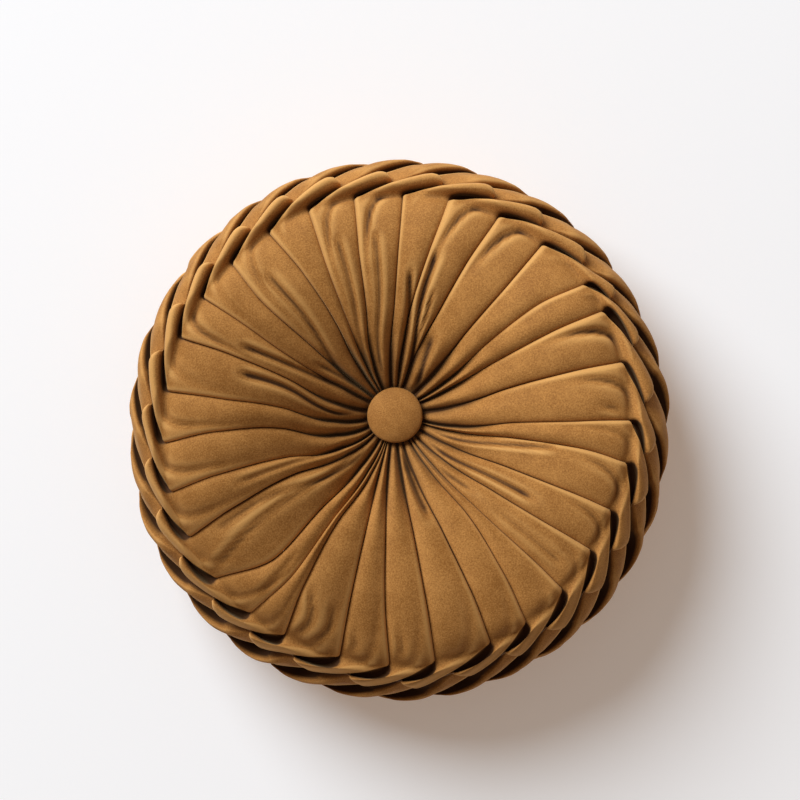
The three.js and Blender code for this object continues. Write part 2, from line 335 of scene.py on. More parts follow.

# How much painted shade darkens the pile's colour in creases, under the lip that hangs over each, in
# gathers, where the pleats are narrow beside the button, and under the hoods
CREASE_SHADE = 2.5
UNDER_LIP_SHADE = 1.3
GATHER_SHADE = 0.2
BUTTON_SHADE = 0.85
HOOD_SHADE = 1.8
# How wide the first two painted shades are in millimetres, and how they widen with the crease or the pleat
CREASE_WIDTH = {"least": 0.3, "by_depth": 0.45, "at_rim": 0.3}
WIDER_OVER = (146.0, 163.0)
UNDER_LIP_WIDTH = {"least": 0.3, "of_pleat": 0.073}
# A pleat starts to be narrow at this width and is fully so this much below it
NARROW_PLEAT = 16.0
NARROW_OVER = 9.0
# The painted shade under a hood deepens over this part of a pleat
UNDER_HOOD = (0.72, 0.94)
# How much painted light brightens the pile's colour on the lip of a fold of the face, on the border of a
# fold of the side, on top of a hood and on a strap, and where the first three lie across a pleat
EDGE_LIGHT = 0.6
BORDER_LIGHT = 1.05
HOOD_LIGHT = 1.8
STRAP_LIGHT = 1.5
LIT_BANDS = {
    "lip": {"middle": 0.036, "width": 0.015},
    "border": {"middle": 0.07, "width": 0.034},
    "hood": {"middle": 0.38, "width": 0.24},
}
# The side's painted shades and lights begin over this stretch of stations, and the hoods' end over the
# other
SIDE_BEGINS = 0.15
HOOD_FADES = 0.12
# The painted light on hoods and straps is strongest at this angle
LIT_SIDE_AT = 240.0

# The filling swells in a few waves round the cushion and along its outline. Their sum seldom passes
# the peak.
SWELLING_WAVES = 7
WAVES_ROUND = (2, 13)
WAVES_ALONG = (0.3, 1.6)
SWELLING_PEAK = 3.0

# Over these stations on each side of the rim the face turns into the side. Gathers end just past it.
RIM_BLEND = 0.12
GATHERS_END = 0.2
# The cover is smoothed by this many steps, to see how far its folds stand out of that
SMOOTHING_STEPS = 4

# The covered buttons, the place of the upper one and the gap between a button and the cover
BUTTON_DIAMETER = 38.5
BUTTON_THICKNESS = 10.0
BUTTON_OFFSET = (-2.8, 10.2)
SEAT_HEIGHT = 80.0
PIECE_GAP = 0.3
# A button's rounded edge in parts of its thickness, and the bend of its dome in parts of its radius
BUTTON_EDGE = 0.38
BUTTON_DOME = 0.62
BUTTON_SIDES = 120
# Its cloth is puckered up to this height, and its outline isn't quite round
PUCKERS = 24
PUCKER_DEPTH = 0.35
PUCKERED_TO = 4.5
BUTTON_WAVES = 3
WAVE_DEPTH = 0.12
WAVE_RISES = (8.0, 18.0)

# The pile turns from smooth to brushed over a range of random patches, mixed with finer, flattened
# streaks. It is rougher where brushed. Its grain tints it, and is this high in millimetres.
BRUSHED_RANGE = (0.16, 0.86)
STREAKS_FINER = 15.0
STREAK_SQUEEZE = (1.0, 1.0, 2.2)
STREAK_STRENGTH = 2.1
GRAIN_RANGE = (0.25, 0.75)
GRAIN_TINT = (0.8, 1.16)
PILE_ROUGHNESS = (0.72, 0.9)
GRAIN_STRENGTH = 0.35
GRAIN_HEIGHT = 0.35
# The pile leans round the cushion and this far inwards, in degrees
LEAN_INWARD = 24.0
# Between which values of the fold measure painted shade and highlight come in, and how strong they get
CREASE_RANGE = (-0.3, -2.2)
CREASE_STRENGTH = 0.92
EDGE_RANGE = (0.3, 1.4)
EDGE_STRENGTH = 0.6
# Sockets of a Mix node for colours, which share their names with those for numbers
MIX_FACTOR, MIX_FIRST, MIX_SECOND, MIX_RESULT = 0, 6, 7, 2

# The floor reaches this far each way, and lies a little under the cushion
FLOOR_HALF = 8000.0
FLOOR_DROP = 0.05

# The view in the photo's frame: how wide a strip of the object its 800 pixels take in, and its middle
PHOTO_WIDTH = 0.565
VIEW_MIDDLE = (0.0007, 0.0208)
CAMERA_HEIGHT = 2.2


class CushionSizes(bpy.types.PropertyGroup):
    """The sizes of the folds"""
    pleat_depth: bpy.props.FloatProperty(
        name="Pleat depth", description="Depth of a crease of the face at the rim",
        default=0.0036, min=0.0, unit="LENGTH")
    button_pleat_depth: bpy.props.FloatProperty(
        name="Pleat depth at the button", description="Depth of a crease beside the button",
        default=0.0030, min=0.0, unit="LENGTH")
    hood_height: bpy.props.FloatProperty(
        name="Hood height", description="How far the hoods of the first row stand out",
        default=0.0070, min=0.0, unit="LENGTH")
    side_height: bpy.props.FloatProperty(
        name="Side fold height", description="How far the folds of the middle rows stand out",
        default=0.0052, min=0.0, unit="LENGTH")
    hood_opening: bpy.props.FloatProperty(
        name="Hood opening", description="How far the edge of a hood stands back from its hollow",
        default=0.0040, min=0.0, unit="LENGTH")
    unevenness: bpy.props.FloatProperty(
        name="Unevenness", description="How far the filling swells unevenly",
        default=0.0012, min=0.0, unit="LENGTH")


class VelvetFinish(bpy.types.PropertyGroup):
    """The colours of the velvet, and the painted shade and painted highlight of its folds"""
    colour: bpy.props.FloatVectorProperty(
        name="Colour", description="The velvet seen along its pile", subtype="COLOR",
        size=4, default=(0.318, 0.121, 0.021, 1.0))
    ruffled: bpy.props.FloatVectorProperty(
        name="Ruffled colour", description="The velvet where the pile is brushed up", subtype="COLOR",
        size=4, default=(0.515, 0.227, 0.057, 1.0))
    # The crease colour is painted shade for deep in a crease, and the edge colour a painted highlight for
    # the edge of a fold
    crease: bpy.props.FloatVectorProperty(
        name="Painted crease shade", description="Painted shade deep in a crease", subtype="COLOR",
        size=4, default=(0.03, 0.008, 0.002, 1.0))
    edge: bpy.props.FloatVectorProperty(
        name="Painted edge highlight", description="Painted highlight on the edge of a fold", subtype="COLOR",
        size=4, default=(0.82, 0.43, 0.135, 1.0))


def mm(length):
    """A length of a property, which is in metres, in millimetres."""
    return length / MM


def column(rows, name):
    """One named column of a table."""
    return np.array([row[name] for row in rows], float)


def smooth_line(knots, place):
    """Values at places along a smooth line through the knots, which lie at 0, 1, 2 and so on."""
    knots = np.asarray(knots, float)
    last = len(knots) - 1
    start = np.clip(np.floor(place).astype(int), 0, last - 1)
    t = place - start
    before = knots[np.maximum(start - 1, 0)]
    here = knots[start]
    there = knots[start + 1]
    after = knots[np.minimum(start + 2, last)]
    slope_in = (there - before) / 2
    slope_out = (after - here) / 2
    bend = 2 * (here - there) + slope_in + slope_out
    return here + t * (slope_in + t * (3 * (there - here) - 2 * slope_in - slope_out + t * bend))


def smooth_step(x, low, high):
    """0 up to low, 1 from high, and a smooth rise between."""
    t = np.clip((x - low) / (high - low), 0, 1)
    return t * t * (3 - 2 * t)


def bell(x, width):
    """A smooth bump of height 1 round 0."""
    return np.exp(-((x / width) ** 2))


def outline_at(station):
    """Radius and height of the outline at each station, and the ways along it and out of the cushion."""
    radii = column(OUTLINE, "radius")
    heights = column(OUTLINE, "height")
    step = 0.01
    point = np.stack([smooth_line(radii, station), smooth_line(heights, station)], -1)
    ahead = np.stack([smooth_line(radii, station + step), smooth_line(heights, station + step)], -1)
    behind = np.stack([smooth_line(radii, station - step), smooth_line(heights, station - step)], -1)
    along = ahead - behind
    along /= np.linalg.norm(along, axis=-1, keepdims=True)
    out = np.stack([-along[..., 1], along[..., 0]], -1)
    return point[..., 0], point[..., 1], along, out


def crease_angles(radius):
    """The angle of every crease at each radius, and of the first one again after a full turn."""
    radii = [*CREASE_RADII.values(), SEAT_EDGE]
    place = np.interp(-radius, [-r for r in radii], range(len(radii)))
    angles = []
    for crease in CREASES:
        knots = [crease[ring] for ring in CREASE_RADII]
        knots.append(crease["button"] + TURN_AT_BUTTON * (crease["button"] - crease["inner"]))
        angles.append(smooth_line(knots, place))
    angles.append(angles[0] + 360)
    return np.stack(angles)


def crease_depths(radius):
    """How deep every crease is at each radius, in parts of the usual depth."""
    radii = list(DEPTH_RADII.values())
    depths = [np.interp(-radius, [-r for r in radii], [c[ring] for ring in DEPTH_RADII]) for c in CREASES]
    depths.append(depths[0])
    return np.stack(depths)


def across_rings(table, place):
    """Reads a table with a row for each crease and a column for each ring at places among the pleats."""
    turn = np.floor(place / PLEATS)
    within = place - turn * PLEATS
    pleat = np.minimum(np.floor(within).astype(int), PLEATS - 1)
    rings = np.arange(table.shape[1])[:, None]
    start = table[pleat, rings]
    end = table[pleat + 1, rings]
    return start + (end - start) * (within - pleat), turn


def fold_angles(place, station, radius, stations):
    """The angle of each point, by its place among the pleats (columns) and its station (rings)."""
    to_row = np.clip(station - RIM, 0, 1)
    to_middle = np.clip(station - ROW, 0, 1)
    shifted = place[None, :] + RIM_TO_ROW_SHIFT * to_row + ROW_TO_MIDDLE_SHIFT * to_middle
    ring_radius = np.where(stations < RIM, radius[:, 0], RIM_RADIUS)
    angle, turn = across_rings(crease_angles(ring_radius), shifted)
    angle = angle + 360 * turn
    even = MIDDLE_ANGLE + PLEAT_ANGLE * (shifted - RIM_TO_ROW_SHIFT - ROW_TO_MIDDLE_SHIFT)
    return angle + (even - angle) * (to_row + to_middle) / 2


def profile(rows, name, across):
    """One column of a fold's profile at places across the pleat."""
    return np.interp(across, column(rows, "across"), column(rows, name))


def face_folds(sizes, place, across, station, radius):
    """Height and clockwise slide of the folds of the face."""
    v = np.clip((station - SEAT) / (RIM - SEAT), 0, 1)[:, None]
    near = mm(sizes.button_pleat_depth)
    depth = near + (mm(sizes.pleat_depth) - near) * v ** DEPTH_CURVE
    depth = depth * smooth_step(station, *FOLDS_RISE)[:, None]
    factor, _ = across_rings(crease_depths(radius), np.broadcast_to(place, (len(radius), len(place))))
    fall = 1 - FLATTER_BY * smooth_step(station, FLATTER_FROM, RIM)[:, None]
    gathered = smooth_step(GATHERED_WITHIN - radius, 0, GATHERED_OVER)[:, None]
    ridge = RIDGE_HEIGHT * np.sin(math.pi * across)[None, :] ** RIDGE_CURVE - 1
    shape = profile(FACE_FOLD, "height", across)[None, :]
    shape = shape + (ridge - shape) * gathered
    deep = np.where(shape < 0, factor, 1 - LIP_FOLLOWS + LIP_FOLLOWS * factor)
    height = shape * depth * deep * fall
    overhang = np.minimum(radius / RIM_RADIUS, 1)[:, None] * OVERHANG * factor
    slide = profile(FACE_FOLD, "slide", across)[None, :] * overhang
    puff = PLEAT_PUFF * np.sin(math.pi * across)[None, :] * np.sin(math.pi * v) ** PUFF_CURVE
    return height + puff, slide


def rim_valleys(place, across, radius):
    """The soft valley below each hood, curving out and clockwise to the stitch, and the strap outside it.

    Gives the height of both, and from 0 to 1 where the strap lies.
    """
    reach = np.clip((1 - across) / VALLEY_LENGTH, 0, VALLEY_REACH)[None, :]
    line = RIM_RADIUS + VALLEY_AT_STITCH - VALLEY_DROP * reach ** VALLEY_BEND
    slope = VALLEY_DROP * VALLEY_BEND * reach ** (VALLEY_BEND - 1) / VALLEY_LENGTH / PLEAT_WIDTH
    away = (radius[:, None] - line) / np.sqrt(1 + slope ** 2)
    fading = 1 - VALLEY_FADE * smooth_step(across, *VALLEY_FADES)
    strong = np.maximum(column(CREASES, "valley") - WEAKEST_VALLEY, 0) * VALLEY_GAIN
    strength = smooth_step(across, *VALLEY_RISES) * fading * strong[np.floor(place).astype(int)]
    valley = -VALLEY_DEPTH * strength[None, :] * bell(away + VALLEY_INSIDE, VALLEY_WIDTH)
    strap = smooth_step(across, *STRAP_RISES)[None, :] * smooth_step(away, *STRAP_EDGE)
    return valley + STRAP_HEIGHT * strap, strap


def gathers(angle, radius):
    """The small gathers between the creases of the face: their height, and how much painted shade lies in
    them.
    """
    height = np.zeros_like(angle)
    painted_gather_shade = np.zeros_like(angle)
    r = radius[:, None]
    for g in GATHERS:
        middle = (g["start"] + g["end"]) / 2
        place = np.interp(-radius, [-g["start"], -middle, -g["end"]], [0, 1, 2])
        centre = smooth_line([g["at_start"], g["at_middle"], g["at_end"]], place)[:, None]
        away = (angle - centre + 180) % 360 - 180
        away = np.radians(away) * r
        ends = smooth_step(g["start"] - r, *START_FADE) * smooth_step(r - g["end"], *END_FADE)
        thin = g["width"] * (1 - GATHER_TAPER + GATHER_TAPER * r / g["start"])
        lip = g["lip"] * bell(away - LIP_BESIDE * thin, LIP_WIDTH * thin)
        height += ends * (lip - g["depth"] * bell(away, thin))
        # Painted shade along the bottom of each gather
        painted_gather_shade += ends * g["depth"] * bell(away, DARK_WIDTH * thin)
    return height, painted_gather_shade


def shading(place, across, station, radius, painted_gather_shade, strap):
    """How much painted shade darkens each point in creases, gathers and under hoods, less painted light."""
    width = 2 * math.pi * np.minimum(radius, RIM_RADIUS) / PLEATS
    depths = crease_depths(np.minimum(radius[:, 0], RIM_RADIUS))
    factor, _ = across_rings(depths, np.broadcast_to(place, width.shape))
    from_crease = np.minimum(across, 1 - across)[None, :] * width
    wider = CREASE_WIDTH["at_rim"] * smooth_step(radius, *WIDER_OVER)
    crease_width = CREASE_WIDTH["least"] + CREASE_WIDTH["by_depth"] * factor + wider
    lip_width = UNDER_LIP_WIDTH["least"] + UNDER_LIP_WIDTH["of_pleat"] * width
    on_side = smooth_step(station, RIM, RIM + SIDE_BEGINS)[:, None]
    on_hood = on_side * (1 - smooth_step(station, ROW - HOOD_FADES, ROW))[:, None]
    closed = (1 - toward_open(place))[None, :]
    # This weight steers only the painted light on hoods and straps, stronger on the left
    brushed_and_lit = toward_lit_side(place)[None, :]
    # Painted shade in creases, under lips, in gathers, beside the button and under hoods, less painted
    # light
    shade = CREASE_SHADE * bell(from_crease, crease_width)
    shade = shade + UNDER_LIP_SHADE * factor * bell((1 - across)[None, :] * width, lip_width)
    shade = shade + BUTTON_SHADE * smooth_step(NARROW_PLEAT - width, 0, NARROW_OVER)
    shade = shade + GATHER_SHADE * painted_gather_shade
    shade = shade + HOOD_SHADE * smooth_step(across, *UNDER_HOOD)[None, :] * closed * on_hood
    light = EDGE_LIGHT * lit_band(across, "lip") * (1 - on_side)
    light = light + BORDER_LIGHT * lit_band(across, "border") * on_side
    light = light + HOOD_LIGHT * lit_band(across, "hood") * brushed_and_lit * on_hood
    light = light + STRAP_LIGHT * strap * brushed_and_lit * (1 - on_side)
    return shade - light


def lit_band(across, name):
    """A lit band along each pleat, with a smooth edge."""
    band = LIT_BANDS[name]
    return bell(across - band["middle"], band["width"])[None, :]


def toward_open(place):
    """From 0 on the upper left, where the hoods lie closed, to 1 on the lower right."""
    return (1 + np.cos(np.radians(PLEAT_ANGLE * place - OPEN_AT))) / 2


def toward_lit_side(place):
    """From 0 on the right to 1 on the left, where painted light brightens hoods and straps."""
    return (1 + np.cos(np.radians(PLEAT_ANGLE * place - LIT_SIDE_AT))) / 2


def hood_openness(place, least, most):
    """How wide each hollow of the side stands open. Beside a deep valley of the face it opens less."""
    valley = column(CREASES, "valley")[np.floor(place).astype(int)]
    closing = OPEN_BESIDE_FLAT - VALLEY_CLOSES * valley
    return (least + (most - least) * toward_open(place)) * closing


def side_stations(across, station):
    """The place along the outline of every point: on the side the rings follow the ends of the hoods."""
    end = profile(SIDE_FOLD, "end", across)[None, :]
    s = station[:, None]
    first = end * (s - RIM)
    second = end + (MIDDLE - RIM - end) * (s - ROW)
    return np.where(s < RIM, s, RIM + np.where(s < ROW, first, second))


def first_row_height(sizes, place, across, station, varied):
    """Height of the hoods, and of the straps that they end in at the row of stitches."""
    rise = HOOD_AT_STITCH + (1 - HOOD_AT_STITCH) * smooth_step(station[:, None] - RIM, *HOOD_RISES)
    rounded = profile(SIDE_FOLD, "round", across)
    hood = (rounded + (profile(SIDE_FOLD, "flat", across) - rounded) * toward_open(place))[None, :]
    share = HOOD_SHARE["closed"] + (HOOD_SHARE["open"] - HOOD_SHARE["closed"]) * toward_open(place)
    hood = hood * np.where(hood < 0, HOOD_BELOW, rise) * mm(sizes.hood_height) * varied * share
    strap = profile(LEVEL_FOLD, "strap", across)[None, :] * mm(sizes.hood_height)
    lip = np.interp(station, column(HOOD_LIP, "station"), column(HOOD_LIP, "height"), left=1.0, right=0.0)
    return strap + (hood - strap) * lip[:, None]


def second_row_height(sizes, across, station, varied):
    """Height of the folds past the row of stitches, which grow level towards the middle of the side."""
    v = station[:, None] - ROW
    puff = profile(SIDE_FOLD, "puff", across)[None, :]
    puff = puff * np.where(puff < 0, PUFF_BELOW, 1.0) * mm(sizes.side_height) * varied
    strap = profile(LEVEL_FOLD, "strap", across)[None, :] * mm(sizes.hood_height)
    height = strap + (puff - strap) * smooth_step(v, *SECOND_RISES)
    level = profile(LEVEL_FOLD, "middle", across)[None, :]
    even = (level + profile(LEVEL_FOLD, "middle", 1 - across)[None, :]) / 2
    middle = (level + (even - level) * smooth_step(v, *EVENS_OVER)) * MIDDLE_HEIGHT
    return height + (middle - height) * smooth_step(v, *LEVELS_OVER)


def hollows(sizes, place, across, station, varied):
    """How far the edge of each fold of the side stands back from its hollow."""
    s = station[:, None]
    first = s < ROW
    widest = WIDEST_CLOSED + WIDEST_OPEN_MORE * toward_open(place)[None, :]
    first_span = np.sin(math.pi * np.clip(s - RIM, 0, 1) ** widest)
    second_span = np.sin(math.pi * np.clip((s - ROW) / SECOND_LENGTH, 0, 1))
    span = np.abs(np.where(first, first_span, second_span))
    span = span ** np.where(first, FIRST_BLUNTNESS, SECOND_BLUNTNESS)
    first_opening = profile(SIDE_FOLD, "open", across) * hood_openness(place, **FIRST_OPENNESS)
    second_opening = profile(SIDE_FOLD, "apart", across) * hood_openness(place, **SECOND_OPENNESS)
    opening = np.where(first, first_opening[None, :], second_opening[None, :]) * varied
    under = profile(SIDE_FOLD, "under", across)[None, :] * HOLLOW_REACH
    return (opening * mm(sizes.hood_opening) + under) * span


def side_folds(sizes, place, across, station, varied):
    """Height of the folds of the side, and how far the edge of each stands back from its hollow."""
    first_row = first_row_height(sizes, place, across, station, varied)
    second_row = second_row_height(sizes, across, station, varied)
    height = np.where(station[:, None] < ROW, first_row, second_row)
    return height, hollows(sizes, place, across, station, varied)


def fold_ways(angle, station, radius, level):
    """The way in which the folds run on over the side: clockwise and along parts."""
    run = np.gradient(np.radians(angle), station, axis=0) * radius
    length = np.hypot(np.gradient(radius, station, axis=0), np.gradient(level, station, axis=0))
    size = np.hypot(run, length) + TINY
    return run / size, length / size


def hood_ends(across, station, varied):
    """How far the end of each hood reaches out over the row of stitches."""
    reach = np.interp(station, column(HOOD_LIP, "station"), column(HOOD_LIP, "slide"), left=0.0, right=0.0)
    shape = profile(HOOD_END, "reach", across)
    return reach[:, None] * shape[None, :] * LIP_REACH * varied


def drawn_in(angle, station):
    """How far the rim is drawn in along the outline at each point."""
    away = (angle - DRAWN_IN_AT + 180) % 360 - 180
    near_rim = smooth_step(station, DRAWN_IN_FROM, RIM) * (1 - smooth_step(station, RIM, DRAWN_IN_TO))
    return RIM_DRAWN_IN * bell(away, DRAWN_IN_SPREAD) * near_rim


def swelling(angle, station, rng):
    """Low, uneven swelling of the filling, mostly from -1 to 1."""
    total = np.zeros_like(angle)
    for _ in range(SWELLING_WAVES):
        turns = rng.integers(*WAVES_ROUND)
        waves = rng.uniform(*WAVES_ALONG)
        phase = rng.uniform(0, 2 * math.pi)
        drift = rng.uniform(0, 2 * math.pi)
        total += np.sin(np.radians(angle) * turns + phase) * np.sin(station[:, None] * waves + drift)
    return total / SWELLING_PEAK


def set_out(angle, outline, height, slide, forth):
    """Points round the cushion: how high above its outline, how far clockwise and how far on along it."""
    radius, level, along, out = outline
    turn = np.radians(angle)
    spoke = np.stack([np.sin(turn), np.cos(turn)], -1)
    clockwise = np.stack([np.cos(turn), -np.sin(turn)], -1)
    reach = radius + height * out[..., 0] + forth * along[..., 0]
    inward = np.clip((RIM_RADIUS - radius) / (RIM_RADIUS - BUTTON_DIAMETER / 2), 0, 1)
    offset = np.array(BUTTON_OFFSET) * inward[..., None]
    flat = offset + reach[..., None] * spoke + slide[..., None] * clockwise
    up = level + height * out[..., 1] + forth * along[..., 1]
    return np.concatenate([flat, up[..., None]], -1)


def front_half(sizes, stations):
    """The points of the cover's front half, a ring for each station, with the shade of each."""
    rng = np.random.default_rng(SEED)
    place = np.array([pleat + across for pleat in range(PLEATS) for across in COLUMNS_OF_PLEAT])
    across = place - np.floor(place)
    station = side_stations(across, stations)
    outline = outline_at(station)
    radius, level = outline[:2]
    angle = fold_angles(place, station, radius, stations)
    hood_sizes = np.append(rng.uniform(*HOOD_VARIES, PLEATS), 1.0)
    varied = np.interp(place, range(PLEATS + 1), hood_sizes)[None, :]

    on_face = smooth_step(RIM + RIM_BLEND - stations, 0, 2 * RIM_BLEND)[:, None]
    ring_radius = np.minimum(radius[:, 0], RIM_RADIUS)
    face_height, face_slide = face_folds(sizes, place, across, np.minimum(stations, RIM), ring_radius)
    valleys, strap = rim_valleys(place, across, ring_radius)
    face_height = face_height + valleys
    gather_height, painted_gather_shade = gathers(angle, ring_radius)
    face_height = face_height + gather_height * (stations <= RIM + GATHERS_END)[:, None]
    side_height, apart = side_folds(sizes, place, across, np.maximum(stations, RIM), varied)
    height = face_height * on_face + side_height * (1 - on_face)
    ways_round, ways_on = fold_ways(angle, stations, radius, level)
    ends = hood_ends(across, stations, varied)
    slide = face_slide * on_face + (ends * ways_round - apart * ways_on) * (1 - on_face)
    forth = (apart * ways_round + ends * ways_on) * (1 - on_face) - drawn_in(angle, station)
    swells = mm(sizes.unevenness) * swelling(angle, stations, rng)
    height = height + swells * smooth_step(stations, SEAT, SEAT + 1)[:, None]
    shade = shading(place, across, stations, radius, painted_gather_shade * (stations <= RIM)[:, None], strap)
    points = set_out(angle, outline, height, slide, forth)
    return np.concatenate([points, shade[..., None]], -1)


def stations_of(spans):
    """The stations of all rings of a table of spans."""
    rings = [0.0]
    for span in spans:
        rings.extend(np.linspace(span["first"], span["last"], span["steps"] + 1)[1:])
    return np.array(rings)


def cover_rings(sizes):
    """All rings of the cover, from the seat of the face's button to that of the back's, and their shade."""
    front = front_half(sizes, stations_of(FRONT_RINGS))
    back = front_half(sizes, stations_of(BACK_RINGS))[:-1][::-1]
    count = front.shape[1]
    facing = (FACING_FOLDS * len(COLUMNS_OF_PLEAT) - np.arange(count)) % count
    back = back[:, facing, :].copy()
    back[..., 0] *= -1
    back[..., 2] = 2 * MID_HEIGHT - back[..., 2]
    rings = np.concatenate([front, back])
    # The back rests on the floor, and nothing of it goes through
    rings[..., 2] = np.maximum(rings[..., 2], 0)
    return rings[..., :3], rings[..., 3]


def fold_measure(rings, shade):
    """How sharply the cover is folded at each point, less painted shade and plus painted light: above 0 on
    an edge, below 0 in a crease or painted shade.
    """
    def neighbours_mean(points):
        ahead = np.roll(points, -1, axis=1)
        behind = np.roll(points, 1, axis=1)
        above = np.concatenate([points[:1], points[:-1]])
        below = np.concatenate([points[1:], points[-1:]])
        return (ahead + behind + above + below) / 4

    low = rings
    for _ in range(SMOOTHING_STEPS):
        low = neighbours_mean(low)
    across = np.roll(low, -1, axis=1) - np.roll(low, 1, axis=1)
    down = np.gradient(low, axis=0)
    normal = np.cross(across, down)
    normal /= np.linalg.norm(normal, axis=-1, keepdims=True) + TINY
    measure = ((rings - low) * normal).sum(-1)
    # The painted shade and light from shading() go into the measure here
    return measure - shade


def ring_faces(ring_count, column_count):
    """The four-sided faces between rings of points, and a fan over the first and under the last."""
    here = np.arange(column_count)
    after = (here + 1) % column_count
    faces = []
    for ring in range(ring_count - 1):
        base = ring * column_count
        below = base + column_count
        quads = np.stack([base + here, base + after, below + after, below + here], -1)
        faces.extend(quads.tolist())
    top = ring_count * column_count
    last = (ring_count - 1) * column_count
    faces.extend([top, int(b), int(a)] for a, b in zip(here, after))
    faces.extend([top + 1, int(last + a), int(last + b)] for a, b in zip(here, after))
    return faces


def mesh_piece(name, points, faces, fold=None):
    """A smooth mesh object from points in millimetres, with a value of its folds and painted shade at each
    point.
    """
    mesh = bpy.data.meshes.new(name)
    mesh.from_pydata((points * MM).tolist(), [], faces)
    mesh.shade_smooth()
    if fold is not None:
        mesh.attributes.new("fold", "FLOAT", "POINT").data.foreach_set("value", fold.astype(np.float32))
    mesh.validate()
    mesh.update()
    piece = bpy.data.objects.new(name, mesh)
    bpy.context.scene.collection.objects.link(piece)
    return piece


def fill(tree, node, inputs):
    """Sets a node's inputs, by name or number, to constants or to the outputs of other nodes."""
    for key, value in inputs.items():
        if isinstance(value, bpy.types.NodeSocket):
            tree.links.new(value, node.inputs[key])
        else:
            node.inputs[key].default_value = value


def add(tree, kind, inputs, **settings):
    """A new node with its settings and its inputs."""
    node = tree.nodes.new(kind)
    for name, value in settings.items():
        setattr(node, name, value)
    fill(tree, node, inputs)
    return node


def calculated(tree, operation, *values):
    """The result of a Math node."""
    return add(tree, "ShaderNodeMath", dict(enumerate(values)), operation=operation).outputs[0]


def vector_of(tree, operation, *vectors):
    """The result of a Vector Math node."""
    return add(tree, "ShaderNodeVectorMath", dict(enumerate(vectors)), operation=operation).outputs[0]


def remap(tree, value, low, high, to_low=0.0, to_high=1.0):
    """A value moved from one range into another, and held inside it."""
    ends = {"Value": value, "From Min": low, "From Max": high, "To Min": to_low, "To Max": to_high}
    return add(tree, "ShaderNodeMapRange", ends).outputs[0]


def noise(tree, place, scale, detail, roughness):
    """Soft random spots."""
    values = {"Vector": place, "Scale": scale, "Detail": detail, "Roughness": roughness}
    return add(tree, "ShaderNodeTexNoise", values).outputs["Fac"]


def mixed(tree, factor, first, second, blend="MIX"):
    """Two colours mixed."""
    values = {MIX_FACTOR: factor, MIX_FIRST: first, MIX_SECOND: second}
    return add(tree, "ShaderNodeMix", values, data_type="RGBA", blend_type=blend).outputs[MIX_RESULT]


def node_group(name, inputs, outputs):
    """An empty shader node group with named sockets, and its two end nodes."""
    tree = bpy.data.node_groups.new(name, "ShaderNodeTree")
    for label, kind, default in inputs:
        socket = tree.interface.new_socket(label, in_out="INPUT", socket_type=kind)
        if default is not None:
            socket.default_value = default
    for label, kind in outputs:
        tree.interface.new_socket(label, in_out="OUTPUT", socket_type=kind)
    return tree, tree.nodes.new("NodeGroupInput"), tree.nodes.new("NodeGroupOutput")


def lean_group():
    """Leans the pile round the cushion, against the clock, so that it catches light from one side."""
    if "Nap lean" in bpy.data.node_groups:
        return bpy.data.node_groups["Nap lean"]
    tree, start, end = node_group(
        "Nap lean",
        (("Place", "NodeSocketVector", None), ("Lean", "NodeSocketFloat", 0.2)),
        (("Normal", "NodeSocketVector"),))
    round_it = vector_of(tree, "CROSS_PRODUCT", (0.0, 0.0, 1.0), start.outputs["Place"])
    turned = add(tree, "ShaderNodeVectorRotate", {
        "Vector": vector_of(tree, "NORMALIZE", round_it),
        "Angle": math.radians(LEAN_INWARD),
    }, rotation_type="Z_AXIS")
    leaning = add(tree, "ShaderNodeVectorMath", {
        "Vector": turned.outputs[0],
        "Scale": start.outputs["Lean"],
    }, operation="SCALE")
    surface = tree.nodes.new("ShaderNodeNewGeometry")
    total = vector_of(tree, "ADD", surface.outputs["Normal"], leaning.outputs[0])
    fill(tree, end, {"Normal": vector_of(tree, "NORMALIZE", total)})
    return tree


def nap_group():
    """Velvet pile: patches brushed up and down, and the fine grain of the pile itself."""
    if "Velvet nap" in bpy.data.node_groups:
        return bpy.data.node_groups["Velvet nap"]
    tree, start, end = node_group(
        "Velvet nap",
        (("Place", "NodeSocketVector", None),
         ("Colour", "NodeSocketColor", (0.4, 0.2, 0.05, 1)),
         ("Ruffled Colour", "NodeSocketColor", (0.5, 0.25, 0.07, 1)),
         ("Patch Scale", "NodeSocketFloat", 60.0),
         ("Grain Scale", "NodeSocketFloat", 1400.0)),
        (("Colour", "NodeSocketColor"), ("Roughness", "NodeSocketFloat"), ("Height", "NodeSocketFloat")))
    place = start.outputs["Place"]
    patch_scale = start.outputs["Patch Scale"]
    patches = noise(tree, place, patch_scale, detail=3.0, roughness=0.55)
    grain = noise(tree, place, start.outputs["Grain Scale"], detail=2.0, roughness=0.6)
    streak_place = vector_of(tree, "MULTIPLY", place, STREAK_SQUEEZE)
    streak_scale = calculated(tree, "MULTIPLY", patch_scale, STREAKS_FINER)
    streaks = noise(tree, streak_place, streak_scale, detail=3.0, roughness=0.6)
    centred = calculated(tree, "MULTIPLY_ADD", streaks, STREAK_STRENGTH, -STREAK_STRENGTH / 2)
    brushed_and_lit = remap(tree, calculated(tree, "ADD", patches, centred), *BRUSHED_RANGE)
    pile = mixed(tree, brushed_and_lit, start.outputs["Colour"], start.outputs["Ruffled Colour"])
    speck = remap(tree, grain, *GRAIN_RANGE, *GRAIN_TINT)
    grey = add(tree, "ShaderNodeCombineColor", {channel: speck for channel in range(3)})
    fill(tree, end, {
        "Colour": mixed(tree, 1.0, pile, grey.outputs[0], blend="MULTIPLY"),
        "Roughness": remap(tree, brushed_and_lit, 0.0, 1.0, *PILE_ROUGHNESS),
        "Height": grain,
    })
    return tree


